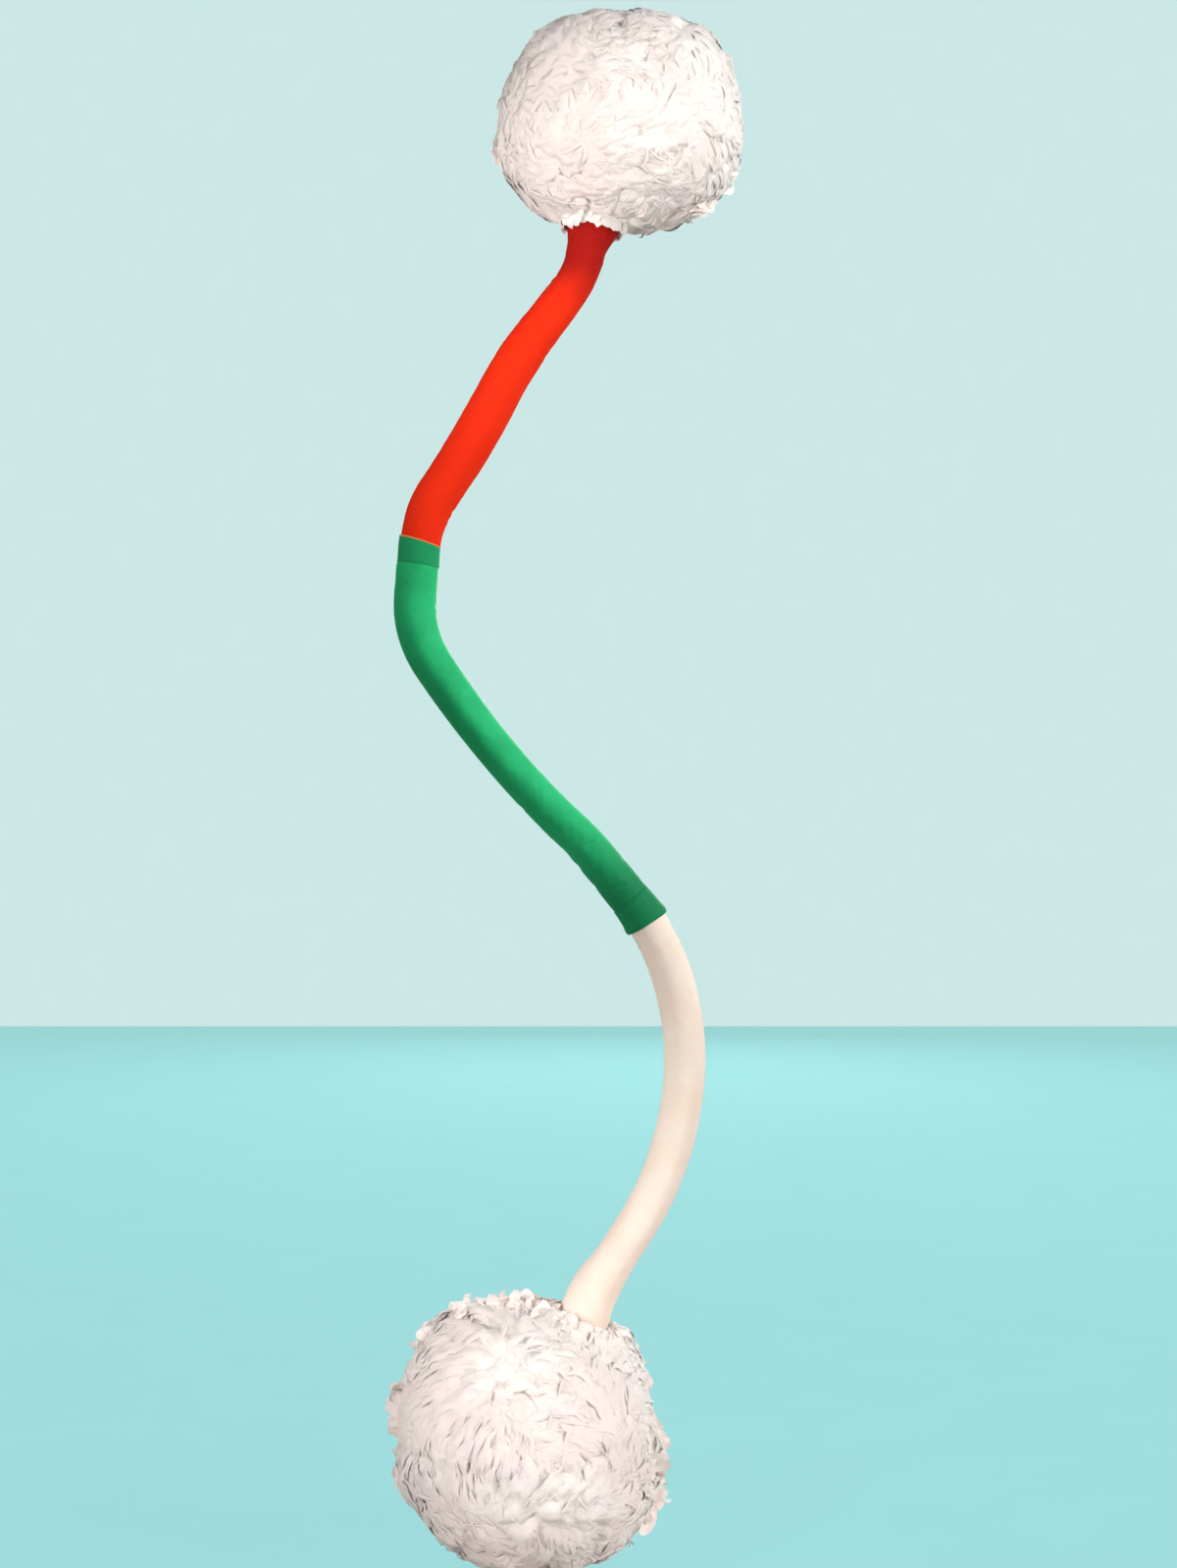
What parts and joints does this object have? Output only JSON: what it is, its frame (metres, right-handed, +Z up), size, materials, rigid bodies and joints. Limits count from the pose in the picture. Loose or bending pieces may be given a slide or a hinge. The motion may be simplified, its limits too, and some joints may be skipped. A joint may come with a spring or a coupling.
{
  "type": "cheer pom pom baton",
  "caption": "Double-ended cheer pom pom: a bendable padded shaft in red, green and cream sleeves with a round white pom turning on each end.",
  "frame": {"origin": "on the centre line of the shaft at the middle of the green hand grip, where a hand holds it", "axes": "+Z up along the baton towards the smaller pom, +X to the right in the plane of the S curve, +Y to the back, square to that plane"},
  "size_m": [0.2123, 0.166, 0.9518],
  "materials": {
    "white_strands": "matt, soft strips",
    "red_cloth": "matt knitted cloth",
    "green_cloth": "matt knitted cloth",
    "cream_cloth": "matt knitted cloth",
    "foam": "matt soft foam",
    "core_metal": "drawn tube",
    "steel": "zinc plated",
    "brass": "turned",
    "washer_plastic": "moulded",
    "nylon": "moulded nylon"
  },
  "bodies": {
    "grip": {"grip_tube": "core_metal", "grip_foam": "foam", "grip_pins": "steel", "green_grip_sleeve": "green_cloth", "upper_bend_fork": "nylon", "upper_bend_screw": "steel", "upper_bend_washers": "steel", "upper_bend_cover": "green_cloth", "lower_bend_fork": "nylon", "lower_bend_screw": "steel", "lower_bend_washers": "steel", "lower_bend_cover": "green_cloth"},
    "red_arm": {"upper_bend_tongue": "nylon", "red_tube": "core_metal", "red_foam": "foam", "red_pins": "steel", "red_sleeve": "red_cloth", "green_upper_cuff": "green_cloth", "upper_hem": "green_cloth", "top_neck_bend_fork": "nylon", "top_neck_bend_screw": "steel", "top_neck_bend_washers": "steel", "top_neck_bend_cover": "red_cloth"},
    "top_neck": {"top_neck_bend_tongue": "nylon", "top_neck_tube": "core_metal", "top_neck_foam": "foam", "top_neck_pins": "steel", "top_neck_sleeve": "red_cloth", "top_stop_collar": "nylon", "top_stem_insert": "brass", "top_end_washer": "steel", "top_end_screw": "steel"},
    "top_pom": {"top_pom_strands": "white_strands", "top_pom_hub": "nylon", "top_pom_plate": "nylon"},
    "cream_arm": {"lower_bend_tongue": "nylon", "cream_tube": "core_metal", "cream_foam": "foam", "cream_pins": "steel", "cream_sleeve": "cream_cloth", "green_lower_cuff": "green_cloth", "lower_hem": "green_cloth", "bottom_neck_bend_fork": "nylon", "bottom_neck_bend_screw": "steel", "bottom_neck_bend_washers": "steel", "bottom_neck_bend_cover": "cream_cloth"},
    "bottom_neck": {"bottom_neck_bend_tongue": "nylon", "bottom_neck_tube": "core_metal", "bottom_neck_foam": "foam", "bottom_neck_pins": "steel", "bottom_neck_sleeve": "cream_cloth", "bottom_stop_collar": "nylon", "bottom_stem_insert": "brass", "bottom_end_washer": "steel", "bottom_end_screw": "steel"},
    "bottom_pom": {"bottom_pom_strands": "white_strands", "bottom_pom_hub": "nylon", "bottom_pom_plate": "nylon"}
  },
  "joints": [
    {"name": "upper_bend", "type": "hinge", "parent": "grip", "child": "red_arm", "pos_m": [-0.04777, 0, 0.10611], "axis": [0, 1, 0], "range_deg": [-40, 40], "deforming": ["upper_bend_cover"]},
    {"name": "top_neck_bend", "type": "hinge", "parent": "red_arm", "child": "top_neck", "pos_m": [0.03441, 0, 0.26918], "axis": [0, 1, 0], "range_deg": [-40, 40], "deforming": ["top_neck_bend_cover"]},
    {"name": "top_pom_spin", "type": "hinge", "parent": "top_neck", "child": "top_pom", "pos_m": [0.077, 0, 0.38197], "axis": [0.2756, 0, 0.9613], "continuous": true},
    {"name": "lower_bend", "type": "hinge", "parent": "grip", "child": "cream_arm", "pos_m": [0.07196, 0, -0.07897], "axis": [0, 1, 0], "range_deg": [-40, 40], "deforming": ["lower_bend_cover"]},
    {"name": "bottom_neck_bend", "type": "hinge", "parent": "cream_arm", "child": "bottom_neck", "pos_m": [0.07482, 0, -0.30597], "axis": [0, 1, 0], "range_deg": [-40, 40], "deforming": ["bottom_neck_bend_cover"]},
    {"name": "bottom_pom_spin", "type": "hinge", "parent": "bottom_neck", "child": "bottom_pom", "pos_m": [0.02378, 0, -0.41838], "axis": [-0.3827, 0, -0.9239], "continuous": true}
  ]
}
